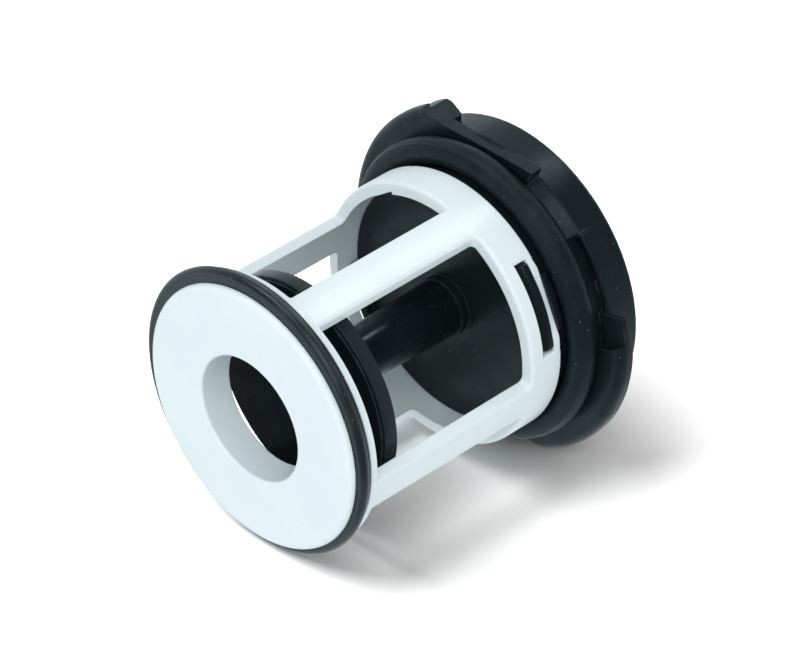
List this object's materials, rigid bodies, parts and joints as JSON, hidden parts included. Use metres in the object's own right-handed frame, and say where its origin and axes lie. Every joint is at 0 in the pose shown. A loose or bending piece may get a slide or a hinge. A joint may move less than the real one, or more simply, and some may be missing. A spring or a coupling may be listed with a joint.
{
  "type": "washing machine drain filter",
  "caption": "Drain-pump filter: a white cage with a wide bore and a rubber ring at its nose, a baffle disc on a stem, and a bayonet cap with a thick gasket and a grip.",
  "frame": {"origin": "centre of the cap's outer rim plane, on which the filter stands", "axes": "+Z along the filter's axis, from the cap to the white front plate; +X through a cage window whose ring has a snap slot"},
  "size_m": [0.075, 0.0774, 0.0765],
  "materials": {
    "cage_plastic": "smooth satin moulding, cool white",
    "seal_rubber": "dull moulded rubber",
    "baffle_plastic": "smooth satin moulding, black",
    "cap_plastic": "fine matte moulding, black",
    "gasket_rubber": "dull rubber cord"
  },
  "bodies": {
    "root": {"filter_cage": "cage_plastic", "front_seal": "seal_rubber", "baffle": "baffle_plastic", "cap": "cap_plastic", "cap_gasket": "gasket_rubber"}
  },
  "joints": []
}
